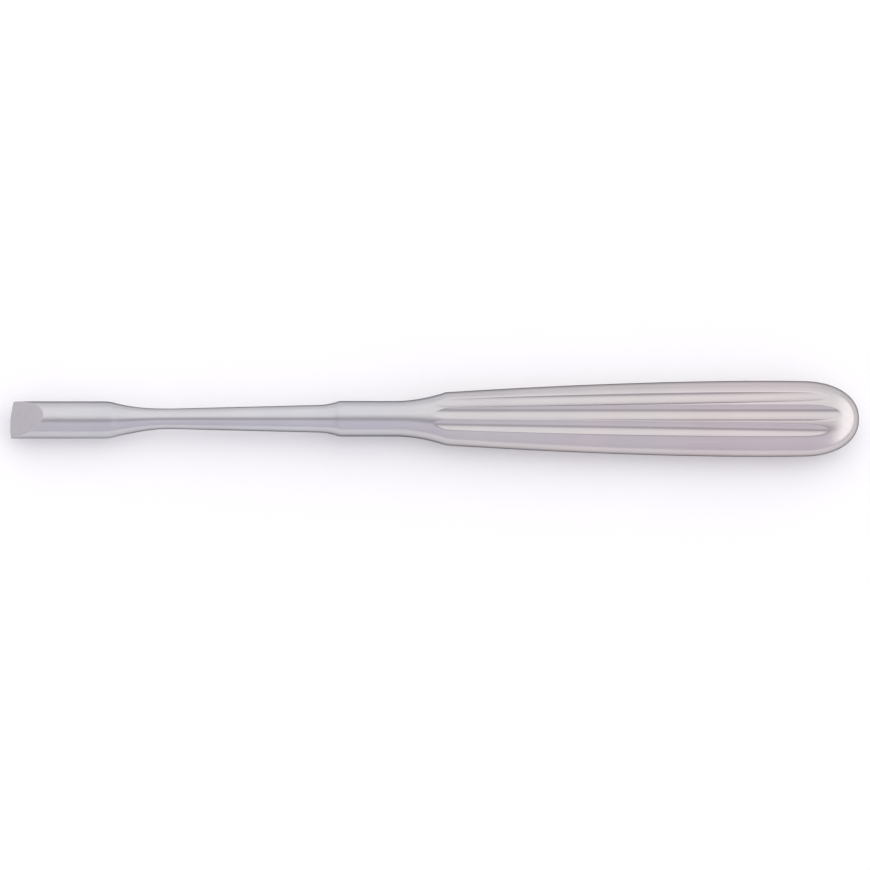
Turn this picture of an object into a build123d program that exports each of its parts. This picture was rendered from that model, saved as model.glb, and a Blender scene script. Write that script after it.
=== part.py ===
from build123d import *
from math import radians, sin, sqrt
import os

# One dental elevator with a half-round chisel blade, ground from one piece of
# stainless steel. Millimetres. While it is built the long axis is X with the
# cutting edge at x = 0, the wide faces of the handle look along +Z and -Z, and
# the shank is centred on y = 0, z = 0. It is shifted to its rest frame last.

# Lengths of the zones, from the cutting edge to the end of the butt
BLADE_LENGTH = 22.2
THROAT_LENGTH = 13.8
SHANK_LENGTH = 33.0
SHOULDER_LENGTH = 4.7
NECK_LENGTH = 12.5
FLARE_LENGTH = 11.3
GRIP_LENGTH = 79.5
BUTT_LENGTH = 13.0
BELLY_TO_BUTT = 9.0

# Blade: half-round bar with a flat underside
BLADE_RADIUS = 4.24
BLADE_DROP = 1.25
BEVEL_ANGLE = 28.5
EDGE_LAND = 0.12
EDGE_RADIUS = 22.0
EDGE_SKEW = 3.5
THROAT_CURVE = 2.2

# Round shank and neck
WAIST_RADIUS = 2.28
SHANK_END_RADIUS = 3.08
NECK_RADIUS = 3.97

# Flat-oval handle, elliptical across the axis
FLARE_CURVE = 1.9
START_HALF_WIDTH = 6.04
START_HALF_THICKNESS = 4.55
BELLY_HALF_WIDTH = 8.75
BELLY_HALF_THICKNESS = 5.0
BELLY_CURVE = 1.75
BUTT_PLAN_POWER = 2.2
BUTT_SIDE_POWER = 2.4

# Three flutes on each wide face, cut with round cutters
MIDDLE_CUTTER = 2.6
SIDE_CUTTER = 2.2
MIDDLE_DEPTH_START = 0.50
MIDDLE_DEPTH_BELLY = 0.95
SIDE_DEPTH_START = 0.48
SIDE_DEPTH_BELLY = 0.60
SIDE_OFFSET_START = 3.1
SIDE_OFFSET_BELLY = 3.85
RUN_OUT_RADIUS = 12.0
RUN_OUT_IN_GRIP = 1.0

# Stations that follow from the lengths
WAIST = BLADE_LENGTH + THROAT_LENGTH
SHOULDER_START = WAIST + SHANK_LENGTH
NECK_START = SHOULDER_START + SHOULDER_LENGTH
NECK_END = NECK_START + NECK_LENGTH
HANDLE_START = NECK_END + FLARE_LENGTH
BUTT_START = HANDLE_START + GRIP_LENGTH
BELLY = BUTT_START - BELLY_TO_BUTT
TOTAL_LENGTH = BUTT_START + BUTT_LENGTH


def smooth(share):
    """Smooth step from 0 to 1, level at both ends."""
    return share * share * (3 - 2 * share)


def belly_size(x, at_start, at_belly):
    """Half size of the handle between its first section and the belly."""
    share = abs(BELLY - x) / (BELLY - HANDLE_START)
    return at_belly - (at_belly - at_start) * share ** BELLY_CURVE


def half_width(x):
    return belly_size(x, START_HALF_WIDTH, BELLY_HALF_WIDTH)


def half_thickness(x):
    return belly_size(x, START_HALF_THICKNESS, BELLY_HALF_THICKNESS)


def across(x, height=0.0):
    """Drawing plane across the long axis."""
    return Plane(origin=(x, 0, height), x_dir=(0, 1, 0), z_dir=(1, 0, 0))


def make_blade_bar():
    """Round bar of the blade, drawn down into the waist of the shank."""
    bar = extrude(across(-1, -BLADE_DROP) * Circle(BLADE_RADIUS), BLADE_LENGTH + 1)
    throat = []
    for share in (0, 0.12, 0.25, 0.4, 0.55, 0.7, 0.85, 1):
        x = BLADE_LENGTH + share * THROAT_LENGTH
        radius = WAIST_RADIUS + (BLADE_RADIUS - WAIST_RADIUS) * (1 - share) ** THROAT_CURVE
        throat.append(across(x, -BLADE_DROP * (1 - smooth(share))) * Circle(radius))
    return bar + loft(throat)


def make_blade():
    """Blade with its flat underside, curved cutting edge and bevel on the round side."""
    blade = make_blade_bar()
    under = Line((-5, -BLADE_DROP), (BLADE_LENGTH, -BLADE_DROP))
    run_out = TangentArc(under @ 1, (WAIST, -WAIST_RADIUS), tangent=(1, 0))
    close = Polyline(run_out @ 1, (WAIST, -3 * BLADE_RADIUS), (-5, -3 * BLADE_RADIUS), under @ 0)
    ground_off = make_face(Plane.XZ * (under + run_out + close))
    blade = blade - extrude(ground_off, 2 * BLADE_RADIUS, both=True)
    middle = -EDGE_RADIUS * sin(radians(EDGE_SKEW))
    outline = Pos(EDGE_RADIUS, middle, 0) * Cylinder(EDGE_RADIUS, 6 * BLADE_RADIUS)
    behind = Pos(EDGE_RADIUS, 0, 0) * Box(
        WAIST, 6 * BLADE_RADIUS, 6 * BLADE_RADIUS, align=(Align.MIN, Align.CENTER, Align.CENTER)
    )
    blade = blade & (outline + behind)
    bevel = Box(
        8 * BLADE_RADIUS,
        4 * BLADE_RADIUS,
        4 * BLADE_RADIUS,
        align=(Align.CENTER, Align.CENTER, Align.MIN),
    )
    return blade - Pos(0, 0, EDGE_LAND - BLADE_DROP) * Rot(0, -BEVEL_ANGLE, 0) * bevel


def make_shank():
    """Round shank with a straight taper, a hollow shoulder and the plain neck."""
    taper = Line((WAIST, WAIST_RADIUS), (SHOULDER_START, SHANK_END_RADIUS))
    shoulder = TangentArc(taper @ 1, (NECK_START, NECK_RADIUS), tangent=taper % 1)
    neck = Line(shoulder @ 1, (NECK_END, NECK_RADIUS))
    close = Polyline(neck @ 1, (NECK_END, 0), (WAIST, 0), taper @ 0)
    return revolve(make_face(taper + shoulder + neck + close), Axis.X)


def make_handle():
    """Flare out of the neck, flat-oval grip and rounded butt."""
    flare = []
    for share in (0, 0.2, 0.4, 0.6, 0.8, 1):
        x = NECK_END + share * FLARE_LENGTH
        wide = NECK_RADIUS + (START_HALF_WIDTH - NECK_RADIUS) * share ** FLARE_CURVE
        thick = NECK_RADIUS + (START_HALF_THICKNESS - NECK_RADIUS) * share ** FLARE_CURVE
        flare.append(across(x) * Ellipse(wide, thick))
    grip = []
    for step in range(9):
        x = HANDLE_START + step / 8 * GRIP_LENGTH
        grip.append(across(x) * Ellipse(half_width(x), half_thickness(x)))
    butt = []
    for step in range(9):
        share = sin(radians(step * 10))
        x = BUTT_START + share * BUTT_LENGTH
        wide = half_width(BUTT_START) * (1 - share ** BUTT_PLAN_POWER) ** (1 / BUTT_PLAN_POWER)
        thick = half_thickness(BUTT_START) * (1 - share ** BUTT_SIDE_POWER) ** (1 / BUTT_SIDE_POWER)
        butt.append(across(x) * Ellipse(wide, thick))
    butt.append(Vertex(TOTAL_LENGTH, 0, 0))
    return loft(flare) + loft(grip) + loft(butt)


def face_point(x, y):
    """Point on the upper wide face and the outward direction there."""
    wide = half_width(x)
    thick = half_thickness(x)
    z = thick * sqrt(1 - (y / wide) ** 2)
    return Vector(x, y, z), Vector(0, y / wide ** 2, z / thick ** 2).normalized()


def flute_cutter(radius, start_offset, start_depth, belly_offset, belly_depth):
    """Straight round cutter that follows the wide face and lifts out toward the neck."""
    run_out_end = HANDLE_START + RUN_OUT_IN_GRIP
    start, outward = face_point(run_out_end, start_offset)
    belly, belly_outward = face_point(BELLY, belly_offset)
    start += outward * (radius - start_depth)
    belly += belly_outward * (radius - belly_depth)
    toward_neck = (start - belly).normalized()
    section = Plane(origin=start, x_dir=outward, z_dir=toward_neck)
    straight = extrude(section * Circle(radius), -(TOTAL_LENGTH - run_out_end) - 5)
    pivot = Axis(start + section.x_dir * RUN_OUT_RADIUS, section.y_dir)
    lift = revolve(section * Circle(radius), pivot, 40)
    return straight + lift


def cut_flutes(handle):
    """Three fanning flutes on the upper wide face and three on the lower one."""
    middle = flute_cutter(MIDDLE_CUTTER, 0, MIDDLE_DEPTH_START, 0, MIDDLE_DEPTH_BELLY)
    side = flute_cutter(
        SIDE_CUTTER, SIDE_OFFSET_START, SIDE_DEPTH_START, SIDE_OFFSET_BELLY, SIDE_DEPTH_BELLY
    )
    for face in (0, 180):
        for cutter in (middle, side, mirror(side, Plane.XZ)):
            handle = handle - Rot(face, 0, 0) * cutter
    return handle


handle = cut_flutes(make_handle())
body = make_blade() + make_shank() + handle
lowest = min(edge.bounding_box().min.Z for edge in body.edges())
body = Pos(-TOTAL_LENGTH / 2, 0, -lowest) * body

os.makedirs("parts", exist_ok=True)
export_step(body, "parts/elevator.step")
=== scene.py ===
"""Looks of the dental elevator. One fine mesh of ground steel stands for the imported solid."""

import math

import bmesh
import bpy
import numpy as np
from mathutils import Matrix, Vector


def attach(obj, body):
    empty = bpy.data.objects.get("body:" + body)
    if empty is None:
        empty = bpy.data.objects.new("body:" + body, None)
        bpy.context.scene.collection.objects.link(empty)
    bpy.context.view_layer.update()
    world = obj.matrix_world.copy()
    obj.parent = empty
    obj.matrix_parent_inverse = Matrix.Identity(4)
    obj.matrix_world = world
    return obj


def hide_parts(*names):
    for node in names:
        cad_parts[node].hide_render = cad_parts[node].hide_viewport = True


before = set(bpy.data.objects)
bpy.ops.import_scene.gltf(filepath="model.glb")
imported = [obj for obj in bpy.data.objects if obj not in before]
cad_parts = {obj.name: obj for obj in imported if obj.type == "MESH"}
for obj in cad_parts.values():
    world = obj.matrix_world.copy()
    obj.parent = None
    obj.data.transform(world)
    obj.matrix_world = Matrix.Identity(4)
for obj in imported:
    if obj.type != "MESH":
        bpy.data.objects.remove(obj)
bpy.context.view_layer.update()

# Sizes in millimetres, as in the part's source. x runs from the cutting edge,
# and the shank is centred on y = 0, z = 0 until the last shift to the frame.
BLADE_LENGTH = 22.2
WAIST = 36.0
SHOULDER_START = 69.0
NECK_START = 73.7
NECK_END = 86.2
HANDLE_START = 97.5
BUTT_START = 177.0
BELLY = 168.0
TOTAL_LENGTH = 190.0
REST_HEIGHT = 4.8803

BLADE_RADIUS = 4.24
BLADE_DROP = 1.25
BEVEL_ANGLE = math.radians(28.5)
BEVEL_SLOPE = math.tan(BEVEL_ANGLE)
EDGE_LAND = 0.12
EDGE_RADIUS = 22.0
EDGE_SKEW = math.radians(3.5)
EDGE_MIDDLE = -EDGE_RADIUS * math.sin(EDGE_SKEW)
CROWN = (BLADE_RADIUS - EDGE_LAND) / BEVEL_SLOPE
WAIST_RADIUS = 2.28
SHANK_END_RADIUS = 3.08
NECK_RADIUS = 3.97
START_HALF_WIDTH = 6.04
START_HALF_THICKNESS = 4.55
BELLY_HALF_WIDTH = 8.75
BELLY_HALF_THICKNESS = 5.0

# How fast the zones open out or close
THROAT_POWER = 2.2
FLARE_POWER = 1.9
BELLY_POWER = 1.75
BUTT_PLAN_POWER = 2.2
BUTT_SIDE_POWER = 2.4

# Flutes, with offset and depth at their start and at the belly
MIDDLE_CUTTER = 2.6
MIDDLE_DEPTH_START = 0.50
MIDDLE_DEPTH_BELLY = 0.95
SIDE_CUTTER = 2.4
SIDE_OFFSET_START = 3.15
SIDE_OFFSET_BELLY = 4.30
SIDE_DEPTH_START = 0.38
SIDE_DEPTH_BELLY = 0.46
RUN_OUT_RADIUS = 110.0
RUN_OUT_END = HANDLE_START + 4.0

# Small worn rounding on the corners, finer than the part's source. The corner polish also lightens
# the colour there as a painted highlight
RIB_ROUNDING = 0.09
CORNER_SOFTENING = 1.0
CORNER_POLISH_AND_HIGHLIGHT = 0.8
SHARP_CORNER = math.radians(12)

# Mesh: points in a ring, which has four quarters, and stretches with closer rings
QUARTER = 64
AROUND = 4 * QUARTER
THROAT_CORNER = 21.0, 23.6
FLUTE_ENDS = 94.6, 101
SAME_POINT = 2e-7

# Looks, light and camera, in metres
WARMTH_SLOPE = 5.26
FLOOR_HALF_SIZE = 3.0
FLOOR_GLOW = 0.09
DOME_STRENGTH = 1.26
ELEVATION = math.radians(74)
PIXEL = 0.2237e-3
IMAGE_WIDTH = 870


def smooth(share):
    """Smooth step from 0 to 1, level at both ends."""
    share = min(max(share, 0.0), 1.0)
    return share * share * (3 - 2 * share)


def unit(vector):
    return vector / np.linalg.norm(vector)


# The blade and the shank

def edge_line(y):
    """x of the curved cutting edge at y."""
    return EDGE_RADIUS - np.sqrt(EDGE_RADIUS**2 - (y - EDGE_MIDDLE) ** 2)


def bar_radius(x):
    """Radius of the bar and the throat, with the corner between them softened."""
    near = x + np.linspace(-CORNER_SOFTENING, CORNER_SOFTENING, 15)
    share = np.clip((near - BLADE_LENGTH) / (WAIST - BLADE_LENGTH), 0, 1)
    radius = WAIST_RADIUS + (BLADE_RADIUS - WAIST_RADIUS) * (1 - share) ** THROAT_POWER
    return float(radius.mean())


def blade_section(x):
    """Centre height, radius and height of the flat underside."""
    radius = bar_radius(x)
    if x <= BLADE_LENGTH:
        return -BLADE_DROP, radius, -BLADE_DROP
    share = (x - BLADE_LENGTH) / (WAIST - BLADE_LENGTH)
    centre = -BLADE_DROP * (1 - smooth(share))
    drop = WAIST_RADIUS - BLADE_DROP
    run = WAIST - BLADE_LENGTH
    bend = (run**2 + drop**2) / (2 * drop)
    under = -BLADE_DROP - (bend - math.sqrt(bend**2 - (x - BLADE_LENGTH) ** 2))
    return centre, radius, under


def shank_radius(x):
    """Radius of the straight taper, the hollow shoulder and the neck."""
    if x <= SHOULDER_START:
        share = (x - WAIST) / (SHOULDER_START - WAIST)
        return WAIST_RADIUS + (SHANK_END_RADIUS - WAIST_RADIUS) * share
    if x >= NECK_START:
        return NECK_RADIUS
    run = SHOULDER_START - WAIST
    rise = SHANK_END_RADIUS - WAIST_RADIUS
    along, up = run / math.hypot(run, rise), rise / math.hypot(run, rise)
    chord_x, chord_r = NECK_START - SHOULDER_START, NECK_RADIUS - SHANK_END_RADIUS
    bend = (chord_x**2 + chord_r**2) / (2 * (along * chord_r - up * chord_x))
    centre_x, centre_r = SHOULDER_START - bend * up, SHANK_END_RADIUS + bend * along
    return centre_r - math.sqrt(bend**2 - (x - centre_x) ** 2)


def arc(first, last, count):
    """Even steps without the last one."""
    return np.linspace(first, last, count + 1)[:-1]


def tip_ring(station):
    """Ring of the bevelled end. Near the edge it follows the curve of the edge."""
    fade = max(0.0, 1 - station / CROWN) ** 2

    def corner(side):
        """Angle at which the bevel meets the round side."""
        angle = 0.0
        for _ in range(40):
            x = station + fade * edge_line(side * BLADE_RADIUS * math.cos(angle))
            rise = min(1.0, (EDGE_LAND + x * BEVEL_SLOPE) / BLADE_RADIUS)
            angle = math.asin(rise)
        return angle

    right, left = corner(1), math.pi - corner(-1)
    up = arc(0, right, QUARTER)
    down = arc(left, math.pi, QUARTER)
    y_right, y_left = BLADE_RADIUS * math.cos(right), BLADE_RADIUS * math.cos(left)
    y_top = arc(y_right, y_left, QUARTER)
    y_under = arc(-BLADE_RADIUS, BLADE_RADIUS, QUARTER)
    y = np.concatenate([BLADE_RADIUS * np.cos(up), y_top, BLADE_RADIUS * np.cos(down), y_under])
    x = station + fade * edge_line(y)
    z_round = -BLADE_DROP + BLADE_RADIUS * np.sin(np.concatenate([up, down]))
    z = np.empty(AROUND)
    z[:QUARTER] = z_round[:QUARTER]
    z[QUARTER : 2 * QUARTER] = EDGE_LAND - BLADE_DROP + x[QUARTER : 2 * QUARTER] * BEVEL_SLOPE
    z[2 * QUARTER : 3 * QUARTER] = z_round[QUARTER:]
    z[3 * QUARTER :] = -BLADE_DROP
    return np.stack([x, y, z], axis=1)


def bar_ring(x):
    """Ring of the half-round bar and the throat, with the flat underside."""
    centre, radius, under = blade_section(x)
    low = math.asin(max(-1.0, min(1.0, (under - centre) / radius)))
    high = math.pi / 2 - math.pi / 4 * smooth((x - CROWN) / 8)
    angle = np.concatenate(
        [
            arc(low, high, QUARTER),
            arc(high, math.pi - high, QUARTER),
            arc(math.pi - high, math.pi - low, QUARTER),
        ]
    )
    y_flat = radius * math.cos(low)
    y = np.concatenate([radius * np.cos(angle), arc(-y_flat, y_flat, QUARTER)])
    z = np.concatenate([centre + radius * np.sin(angle), np.full(QUARTER, under)])
    return np.stack([np.full(AROUND, x), y, z], axis=1)


def shank_ring(x):
    """Round ring. Its points spread out evenly behind the throat."""
    radius = shank_radius(x)
    low = -math.pi / 2 + math.pi / 4 * smooth((x - WAIST) / 16)
    high = math.pi / 4
    angle = np.concatenate(
        [
            arc(low, high, QUARTER),
            arc(high, math.pi - high, QUARTER),
            arc(math.pi - high, math.pi - low, QUARTER),
            arc(math.pi - low, 2 * math.pi + low, QUARTER),
        ]
    )
    return np.stack([np.full(AROUND, x), radius * np.cos(angle), radius * np.sin(angle)], axis=1)


# The handle

def belly_size(x, at_start, at_belly):
    """Half size of the grip between its first section and the belly."""
    share = abs(BELLY - x) / (BELLY - HANDLE_START)
    return at_belly - (at_belly - at_start) * share**BELLY_POWER


def handle_size(x):
    """Half width and half thickness of the handle's oval."""
    if x <= HANDLE_START:
        share = max(0.0, (x - NECK_END) / (HANDLE_START - NECK_END)) ** FLARE_POWER
        return (
            NECK_RADIUS + (START_HALF_WIDTH - NECK_RADIUS) * share,
            NECK_RADIUS + (START_HALF_THICKNESS - NECK_RADIUS) * share,
        )
    station = min(x, BUTT_START)
    wide = belly_size(station, START_HALF_WIDTH, BELLY_HALF_WIDTH)
    thick = belly_size(station, START_HALF_THICKNESS, BELLY_HALF_THICKNESS)
    if x > BUTT_START:
        share = (x - BUTT_START) / (TOTAL_LENGTH - BUTT_START)
        wide *= max(0.0, 1 - share**BUTT_PLAN_POWER) ** (1 / BUTT_PLAN_POWER)
        thick *= max(0.0, 1 - share**BUTT_SIDE_POWER) ** (1 / BUTT_SIDE_POWER)
    return wide, thick


def face_point(x, y):
    """Point on the upper wide face before the flutes are cut."""
    wide, thick = handle_size(x)
    return np.array([x, y, thick * math.sqrt(1 - (y / wide) ** 2)])


class Cutter:
    """Round cutter that runs straight along the face and lifts out toward the neck."""

    def __init__(self, radius, start_offset, start_depth, belly_offset, belly_depth):
        up = np.array([0.0, 0.0, 1.0])
        self.radius = radius
        self.start = face_point(RUN_OUT_END, start_offset) + up * (radius - start_depth)
        belly = face_point(BELLY, belly_offset) + up * (radius - belly_depth)
        self.along = unit(self.start - belly)
        self.out = unit(up - self.along * up.dot(self.along))
        self.across = np.cross(self.along, self.out)

    def gap(self, points):
        """Height of the points above the floor of the flute; below zero outside it."""
        away = points - self.start
        along, out, across = away @ self.along, away @ self.out, away @ self.across
        room = np.sqrt(np.maximum(self.radius**2 - across**2, 0))
        lift = np.maximum(along, 0)
        reach = np.sqrt(np.maximum((RUN_OUT_RADIUS + room) ** 2 - lift**2, 0))
        inside = np.abs(across) < self.radius
        return np.where(inside, out - (RUN_OUT_RADIUS - reach), -1.0)

    def cut(self, points):
        """Points moved down to the flute's floor, and how near each is to its rim."""
        gap = self.gap(points)
        near = np.maximum(RIB_ROUNDING - np.abs(gap), 0) / RIB_ROUNDING
        down = np.maximum(gap, 0) + near**2 * RIB_ROUNDING / 4
        return points - down[:, None] * self.out, near


MIDDLE = Cutter(MIDDLE_CUTTER, 0, MIDDLE_DEPTH_START, 0, MIDDLE_DEPTH_BELLY)
SIDE, SIDE_MIRRORED = (
    Cutter(
        SIDE_CUTTER,
        side * SIDE_OFFSET_START,
        SIDE_DEPTH_START,
        side * SIDE_OFFSET_BELLY,
        SIDE_DEPTH_BELLY,
    )
    for side in (1, -1)
)


def flute_edges(x):
    """y of the middle flute's rim and of the side flute's inner and outer rim."""
    wide, thick = handle_size(x)
    y = np.linspace(0, 0.98 * wide, 1500)
    z = thick * np.sqrt(1 - (y / wide) ** 2)
    points = np.stack([np.full_like(y, x), y, z], axis=1)
    middle, side = MIDDLE.gap(points), SIDE.gap(points)
    in_middle = (middle > 0) & (middle > side)
    in_side = (side > 0) & (side >= middle)
    rim = y[in_middle].max() if in_middle.any() else 0.0
    if in_side.any():
        inner, outer = y[in_side].min(), y[in_side].max()
    else:
        inner = outer = None
    return rim, inner, outer


def eased(first, last, count):
    """Steps that lie closer together at both ends."""
    share = np.linspace(0, 1, count + 1)[:-1]
    share = 0.55 * share + 0.45 * (0.5 - 0.5 * np.cos(math.pi * share))
    return first + (last - first) * share


# Past its ends the side flute's points gather on a line at this y
LAST_FLUTE = 187.0
START_LINE = 2.2
END_LINE = 3.9

# Least widths of the strips of points, and the largest share of the half width
MIDDLE_STRIP = 0.12
RIB_STRIP = 0.05
SIDE_STRIP = 0.12
OUTER_LIMIT = 0.93
STRIP_STEPS = 21, 20, 7, 16

# From the neck on, the points turn to follow the rims
TURN_START = 84
TURN_LENGTH = 10


def handle_angles(x):
    """Angles of one quarter, from the side of the oval to its top, following the rims."""
    wide, _ = handle_size(x)
    rim, inner, outer = flute_edges(min(x, LAST_FLUTE))
    if inner is None:
        inner = outer = START_LINE if x < BELLY else END_LINE
    rim = max(rim, MIDDLE_STRIP)
    inner = max(inner, rim + RIB_STRIP)
    outer = max(outer, inner + SIDE_STRIP)
    limit = OUTER_LIMIT * wide
    if outer > limit:
        rim, inner, outer = rim * limit / outer, inner * limit / outer, limit
    turns = [0.0] + [math.acos(v / wide) for v in (outer, inner, rim)] + [math.pi / 2]
    strips = zip(turns, turns[1:], STRIP_STEPS)
    return np.concatenate([eased(first, last, count) for first, last, count in strips])


def handle_ring(x):
    """Ring of the handle, with the flutes cut in, and how near each point is to a rib."""
    wide, thick = handle_size(x)
    even = arc(0, math.pi / 2, QUARTER)
    quarter = even
    if x > TURN_START:
        quarter = even + (handle_angles(x) - even) * smooth((x - TURN_START) / TURN_LENGTH)
    half = np.concatenate([quarter, [math.pi / 2], math.pi - quarter[:0:-1]])
    angle = np.concatenate([half, math.pi + half])
    angle = np.roll(angle, QUARTER // 2)
    y, z = wide * np.cos(angle), thick * np.sin(angle)
    lower = z < 0
    points = np.stack([np.full(AROUND, x), y, np.abs(z)], axis=1)
    rib = np.zeros(AROUND)
    for cutter in (MIDDLE, SIDE, SIDE_MIRRORED):
        points, near = cutter.cut(points)
        rib = np.maximum(rib, near)
    points[lower, 2] *= -1
    # the shallow ends of the flutes have no polished rim with its painted highlight, or a faint one
    # in the butt
    neck_fade, butt_fade = smooth((x - 96) / 14), smooth((x - 178) / 8)
    rib *= neck_fade * (1 - 0.8 * butt_fade)
    return points, rib


def steps(*stops):
    """Even steps through x, count, x, count and so on, without the first x."""
    places = []
    for k in range(0, len(stops) - 2, 2):
        first, count, last = stops[k : k + 3]
        places += list(np.linspace(first, last, count + 1)[1:])
    return places


def stations():
    """Where the rings lie along the tool, closer together where the form changes."""
    tip = [CROWN * math.sin(math.pi / 2 * k / 34) for k in range(35)]
    bar = steps(CROWN, 16, THROAT_CORNER[0], 13, THROAT_CORNER[1], 34, WAIST)
    neck_corner = NECK_START + 0.2
    shank = steps(WAIST, 21, SHOULDER_START, 14, NECK_START, 1, neck_corner, 9, NECK_END)
    handle = steps(NECK_END, 21, FLUTE_ENDS[0], 32, FLUTE_ENDS[1], 61, BUTT_START)
    ends = np.sin(np.linspace(0, math.pi / 2, 92))[1:-1]
    butt = [BUTT_START + share * (TOTAL_LENGTH - BUTT_START) for share in ends]
    return tip, bar, shank, handle + butt


def all_rings():
    """Every ring from the edge to the butt, and how polished each of its points is, which also sets
    a painted highlight.
    """
    tip, bar, shank, handle = stations()
    rings = [tip_ring(x) for x in tip] + [bar_ring(x) for x in bar] + [shank_ring(x) for x in shank]
    polish_and_highlight = [np.zeros(AROUND) for _ in rings]
    # the ground edges of the blade are polished, and their colour is lightened as a painted
    # highlight
    for k in range(len(tip) + len(bar)):
        corners = [0, 3 * QUARTER]
        if k < len(tip):
            corners += [QUARTER, 2 * QUARTER]
        polish_and_highlight[k][corners] = CORNER_POLISH_AND_HIGHLIGHT
    for x in handle:
        points, rib = handle_ring(x)
        rings.append(points)
        polish_and_highlight.append(rib)
    return rings, polish_and_highlight


def ring_faces(count):
    """Faces between the rings, round the butt and on the narrow land of the cutting edge."""
    faces = []
    for i in range(count - 1):
        a, b = i * AROUND, (i + 1) * AROUND
        for j in range(AROUND):
            k = (j + 1) % AROUND
            faces.append((a + j, a + k, b + k, b + j))
    last, pole = (count - 1) * AROUND, count * AROUND
    for j in range(AROUND):
        faces.append((last + j, last + (j + 1) % AROUND, pole))
    for k in range(QUARTER):
        faces.append((QUARTER + k, (AROUND - k) % AROUND, AROUND - k - 1, QUARTER + k + 1))
    return faces


def sharpen_corners(work):
    """Crisp corners along the flat and round the bevel; every other form stays smooth."""
    for face in work.faces:
        face.smooth = True
    flat_end = (WAIST - 4 - TOTAL_LENGTH / 2) / 1000
    bevel_end = (CROWN + 0.3 - TOTAL_LENGTH / 2) / 1000
    for edge in work.edges:
        first, second = edge.verts[0].co.x, edge.verts[1].co.x
        lengthwise = abs(first - second) > 1e-5 or first < bevel_end
        if lengthwise and first < flat_end and len(edge.link_faces) == 2:
            if edge.calc_face_angle(0) > SHARP_CORNER:
                edge.smooth = False


def build_mesh():
    """The whole tool as one closed mesh in metres."""
    rings, polish_and_highlight = all_rings()
    points = np.concatenate(rings + [np.array([[TOTAL_LENGTH, 0.0, 0.0]])])
    points = (points + [-TOTAL_LENGTH / 2, 0, REST_HEIGHT]) / 1000
    mesh = bpy.data.meshes.new("elevator_steel")
    mesh.from_pydata(points.tolist(), [], ring_faces(len(rings)))
    # polish of each point, which also drives a painted highlight in the steel's colour
    wear_and_highlight = mesh.attributes.new("wear_and_highlight", "FLOAT", "POINT")
    wear_and_highlight.data.foreach_set("value", np.concatenate(polish_and_highlight + [np.zeros(1)]))
    work = bmesh.new()
    work.from_mesh(mesh)
    bmesh.ops.remove_doubles(work, verts=work.verts, dist=SAME_POINT)
    bmesh.ops.dissolve_degenerate(work, dist=1e-8, edges=work.edges)
    bmesh.ops.recalc_face_normals(work, faces=work.faces)
    sharpen_corners(work)
    work.to_mesh(mesh)
    work.free()
    return mesh


mesh = build_mesh()
elevator = bpy.data.objects.new("elevator_body", mesh)
bpy.context.scene.collection.objects.link(elevator)


class Nodes:
    """Short helper to add and join shader nodes."""

    def __init__(self, tree):
        self.tree = tree
        tree.nodes.clear()

    def add(self, kind, inputs=None, **settings):
        """A node with its settings, and its inputs set or joined to other sockets."""
        node = self.tree.nodes.new(kind)
        for name, value in settings.items():
            setattr(node, name, value)
        for name, value in (inputs or {}).items():
            if isinstance(value, bpy.types.NodeSocket):
                self.tree.links.new(value, node.inputs[name])
            else:
                node.inputs[name].default_value = value
        return node

    def fill(self, socket, value):
        """Sets one socket to a number or a colour, or joins it to another socket."""
        if isinstance(value, bpy.types.NodeSocket):
            self.tree.links.new(value, socket)
        elif isinstance(value, tuple) and len(value) == 3:
            socket.default_value = (*value, 1)
        else:
            socket.default_value = value

    def math(self, operation, first, second=0.0, third=0.0):
        node = self.add("ShaderNodeMath", operation=operation)
        for socket, value in zip(node.inputs, (first, second, third)):
            self.fill(socket, value)
        return node.outputs[0]

    def ramp(self, factor, stops, interpolation="LINEAR"):
        """Colours at stops along a factor; one number stands for a grey."""
        node = self.add("ShaderNodeValToRGB", {"Fac": factor})
        node.color_ramp.interpolation = interpolation
        elements = node.color_ramp.elements
        for _ in range(len(stops) - 2):
            elements.new(0.5)
        for element, (place, _) in zip(elements, stops):
            element.position = place
        for element, (_, colour) in zip(elements, stops):
            if not isinstance(colour, tuple):
                colour = (colour, colour, colour)
            element.color = (*colour, 1)
        return node.outputs["Color"]

    def mix(self, factor, first, second, blend="MIX"):
        node = self.add("ShaderNodeMix", data_type="RGBA", blend_type=blend)
        for place, value in ((0, factor), (6, first), (7, second)):
            self.fill(node.inputs[place], value)
        return node.outputs[2]

    def noise(self, vector, scale, detail=3.0, roughness=0.5):
        inputs = {"Vector": vector, "Scale": scale, "Detail": detail, "Roughness": roughness}
        return self.add("ShaderNodeTexNoise", inputs).outputs["Fac"]


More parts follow.
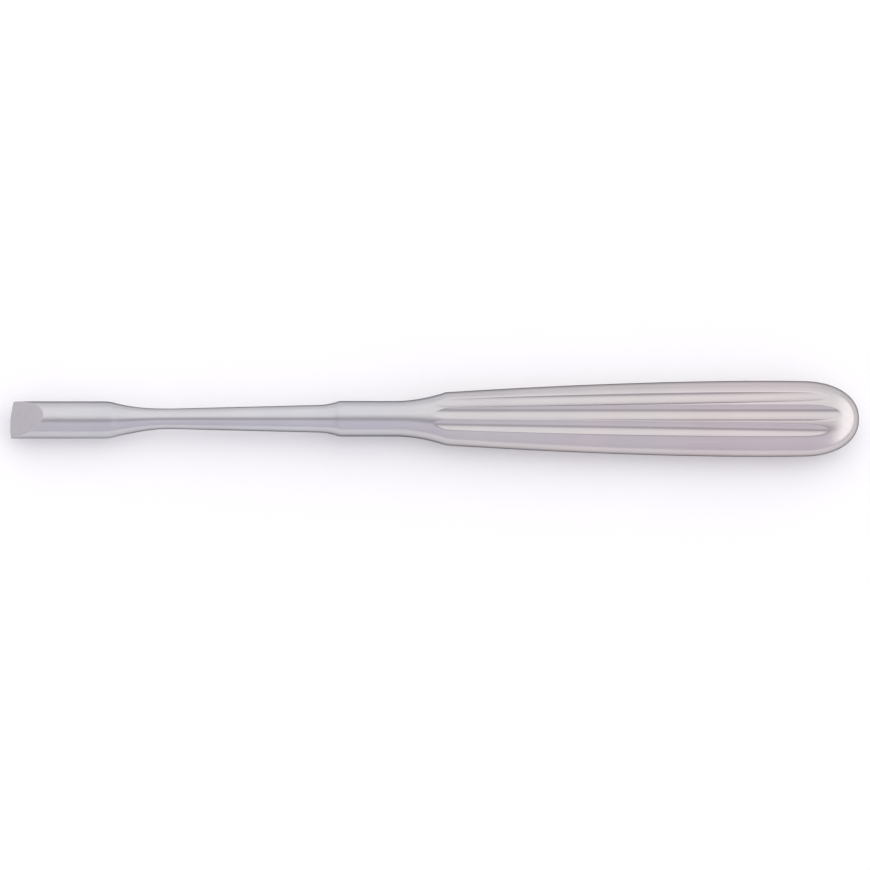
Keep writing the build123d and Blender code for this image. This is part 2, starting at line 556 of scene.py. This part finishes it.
def steel_material():
    """Satin steel, ground lengthwise, with polished ribs that carry a painted highlight, and faint
    stains.
    """
    material = bpy.data.materials.new("ground_steel")
    material.use_nodes = True
    n = Nodes(material.node_tree)
    place = n.add("ShaderNodeTexCoord").outputs["Object"]
    long_lines = n.add("ShaderNodeMapping", {"Vector": place, "Scale": (14, 1500, 1500)})
    fine_lines = n.add("ShaderNodeMapping", {"Vector": place, "Scale": (60, 6500, 6500)})
    lines = n.noise(long_lines.outputs[0], 1.0, 4.0, 0.6)
    hairs = n.noise(fine_lines.outputs[0], 1.0, 3.0, 0.6)
    cloud = n.noise(place, 90.0, 3.0, 0.55)
    patch = n.noise(place, 22.0, 2.0, 0.5)
    grain = n.noise(place, 4200.0, 2.0, 0.6)
    wear_and_highlight = n.add("ShaderNodeAttribute", attribute_name="wear_and_highlight").outputs["Fac"]

    tint = n.ramp(
        patch,
        [
            (0.36, (0.592, 0.586, 0.606)),
            (0.50, (0.600, 0.590, 0.600)),
            (0.64, (0.624, 0.582, 0.598)),
        ],
    )
    # the handle is a little warmer than the blade
    along = n.add("ShaderNodeSeparateXYZ", {"Vector": place}).outputs["X"]
    warmth = n.math("MULTIPLY_ADD", along, WARMTH_SLOPE, 0.5)
    warm = n.ramp(warmth, [(0.44, (0.975, 0.98, 0.99)), (0.56, (1.0, 0.97, 0.945))])
    shade = n.ramp(cloud, [(0.3, 0.955), (0.7, 1.0)])
    streak = n.ramp(lines, [(0.3, 0.96), (0.55, 1.0), (0.8, 1.0)])
    colour = n.mix(1.0, tint, shade, "MULTIPLY")
    colour = n.mix(1.0, colour, warm, "MULTIPLY")
    colour = n.mix(1.0, colour, streak, "MULTIPLY")
    # painted highlight: where the ribs and ground edges are polished, the colour is mixed toward a
    # lighter grey
    colour = n.mix(n.math("MULTIPLY", wear_and_highlight, 0.35), colour, (0.68, 0.67, 0.685))

    # satin, and smoother where it is worn
    rough = n.math("MULTIPLY_ADD", lines, 0.08, 0.11)
    rough = n.math("MULTIPLY_ADD", cloud, 0.06, rough)
    rough = n.math("MULTIPLY_ADD", hairs, 0.04, rough)
    rough = n.math("SUBTRACT", rough, n.math("MULTIPLY", wear_and_highlight, 0.05))

    # grinding lines and grain
    height = n.math("MULTIPLY_ADD", hairs, 0.6, n.math("MULTIPLY", lines, 0.5))
    height = n.math("MULTIPLY_ADD", grain, 0.25, height)
    bump = n.add("ShaderNodeBump", {"Height": height, "Strength": 0.06, "Distance": 0.00002})

    steel = n.add(
        "ShaderNodeBsdfPrincipled",
        {
            "Base Color": colour,
            "Metallic": 1.0,
            "Roughness": rough,
            "Normal": bump.outputs[0],
            "Specular Tint": (0.15, 0.15, 0.16, 1),
        },
    )
    n.add("ShaderNodeOutputMaterial", {"Surface": steel.outputs[0]})
    return material


mesh.materials.append(steel_material())
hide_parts("elevator")
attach(elevator, "root")


# Floor: pale, with the soft shadow of the tool

def floor_material():
    """Matt pale paint, whitened by a glow that the camera and reflections see."""
    material = bpy.data.materials.new("pale_floor")
    material.use_nodes = True
    n = Nodes(material.node_tree)
    place = n.add("ShaderNodeTexCoord").outputs["Object"]
    mottle = n.noise(place, 30.0, 4.0, 0.5)
    paint = n.ramp(mottle, [(0.3, (0.925, 0.925, 0.925)), (0.7, (0.94, 0.94, 0.94))])
    bump = n.add(
        "ShaderNodeBump",
        {"Height": n.noise(place, 900.0, 3.0, 0.5), "Strength": 0.05, "Distance": 0.0002},
    )
    matt = n.add(
        "ShaderNodeBsdfPrincipled",
        {
            "Base Color": paint,
            "Roughness": 0.85,
            "Specular IOR Level": 0.1,
            "Normal": bump.outputs[0],
        },
    )
    ray = n.add("ShaderNodeLightPath")
    seen = n.math("ADD", ray.outputs["Is Camera Ray"], ray.outputs["Is Glossy Ray"])
    seen = n.math("ADD", seen, ray.outputs["Is Transmission Ray"])
    seen = n.math("MULTIPLY", n.math("MINIMUM", seen, 1.0), FLOOR_GLOW)
    glow = n.add("ShaderNodeEmission", {"Color": (1.0, 1.0, 1.0, 1), "Strength": seen})
    both = n.add("ShaderNodeAddShader")
    material.node_tree.links.new(matt.outputs[0], both.inputs[0])
    material.node_tree.links.new(glow.outputs[0], both.inputs[1])
    n.add("ShaderNodeOutputMaterial", {"Surface": both.outputs[0]})
    return material


work = bmesh.new()
bmesh.ops.create_grid(work, x_segments=8, y_segments=8, size=FLOOR_HALF_SIZE)
floor_mesh = bpy.data.meshes.new("floor")
work.to_mesh(floor_mesh)
work.free()
floor = bpy.data.objects.new("floor", floor_mesh)
floor_mesh.materials.append(floor_material())
bpy.context.scene.collection.objects.link(floor)


# Light: one broad soft dome, brighter from the far side and the handle's end. The
# factor of the dome goes from 0 on the near side, over the top, to 1 on the far side.

world = bpy.data.worlds.new("studio")
bpy.context.scene.world = world
world.use_nodes = True
n = Nodes(world.node_tree)
direction = n.add("ShaderNodeTexCoord").outputs["Generated"]
parts = n.add("ShaderNodeSeparateXYZ", {"Vector": direction})
turn = n.math("ARCTAN2", parts.outputs["Z"], n.math("MULTIPLY", parts.outputs["Y"], -1.0))
share = n.math("DIVIDE", turn, math.pi)
dome = n.ramp(
    share,
    [
        (0.00, (0.61, 0.595, 0.66)),
        (0.08, (0.645, 0.625, 0.695)),
        (0.25, (0.69, 0.67, 0.745)),
        (0.31, (0.68, 0.66, 0.735)),
        (0.345, (0.60, 0.58, 0.64)),
        (0.37, (0.48, 0.465, 0.505)),
        (0.395, (0.43, 0.415, 0.45)),
        (0.42, (0.44, 0.43, 0.46)),
        (0.445, (0.52, 0.51, 0.54)),
        (0.475, (0.69, 0.68, 0.70)),
        (0.505, (0.81, 0.80, 0.82)),
        (0.54, (0.88, 0.87, 0.89)),
        (0.60, (0.93, 0.925, 0.945)),
        (0.74, (0.94, 0.93, 0.95)),
        (0.80, (0.92, 0.91, 0.93)),
        (0.87, (0.89, 0.88, 0.91)),
        (0.93, (0.84, 0.83, 0.86)),
        (1.00, (0.70, 0.69, 0.72)),
    ],
)
# dimmer beyond the blade
beyond = n.math("MULTIPLY", parts.outputs["X"], -1.0)
behind = n.ramp(beyond, [(0.45, 1.0), (0.78, (0.73, 0.695, 0.735))], "EASE")
dome = n.mix(1.0, dome, behind, "MULTIPLY")
# a bright panel past the end of the handle
end_stops = [(0.05, (0.40, 0.39, 0.41)), (0.20, (0.96, 0.95, 0.96))]
end_panel = n.ramp(parts.outputs["Z"], end_stops, "EASE")
toward_end = n.ramp(parts.outputs["X"], [(0.35, 0.0), (0.75, 1.0)], "EASE")
end_panel = n.mix(1.0, end_panel, (1.28, 1.28, 1.29), "MULTIPLY")
dome = n.mix(toward_end, dome, end_panel)
light = n.add("ShaderNodeBackground", {"Color": dome, "Strength": DOME_STRENGTH})
n.add("ShaderNodeOutputWorld", {"Surface": light.outputs[0]})


# Camera: long lens, looking down at the photograph's angle

camera_data = bpy.data.cameras.new("camera")
camera_data.sensor_width = 36
camera_data.lens = 300
distance = PIXEL * IMAGE_WIDTH * camera_data.lens / camera_data.sensor_width
camera = bpy.data.objects.new("camera", camera_data)
bpy.context.scene.collection.objects.link(camera)
target = Vector((0.00011, -0.00378, REST_HEIGHT / 1000))
away = Vector((0, -math.cos(ELEVATION), math.sin(ELEVATION)))
camera.location = target + away * distance
camera.rotation_euler = (-away).to_track_quat("-Z", "Y").to_euler()
bpy.context.scene.camera = camera

bpy.context.scene.view_settings.view_transform = "Standard"
